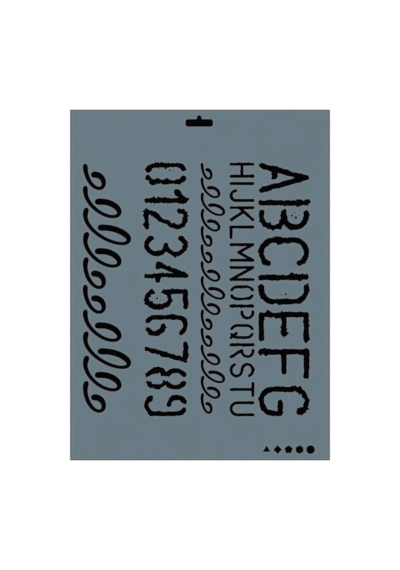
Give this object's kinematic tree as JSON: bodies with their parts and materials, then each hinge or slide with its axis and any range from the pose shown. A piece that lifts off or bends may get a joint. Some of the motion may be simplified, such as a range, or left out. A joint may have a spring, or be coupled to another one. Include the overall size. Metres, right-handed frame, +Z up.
{
  "type": "stencil",
  "caption": "Flat lettering stencil: thin grey plastic film with bridged characters, figures and pen loops cut through it and a hang slot, lying loose on a black backing card.",
  "frame": {"origin": "on the surface that the card lies on, under the middle of the sheet", "axes": "+X to the right as in the picture, +Y along the sheet towards the hang slot, +Z up out of the film's face"},
  "size_m": [0.26, 0.351, 0.0008],
  "materials": {
    "frosted_film": "frosted",
    "black_card": "uncoated"
  },
  "bodies": {
    "card": {"backing_card": "black_card"},
    "film": {"stencil_film": "frosted_film"}
  },
  "joints": [
    {"name": "film_lift", "type": "slide", "parent": "card", "child": "film", "axis": [0, 0, 1], "range_m": [0, 0.04]}
  ]
}
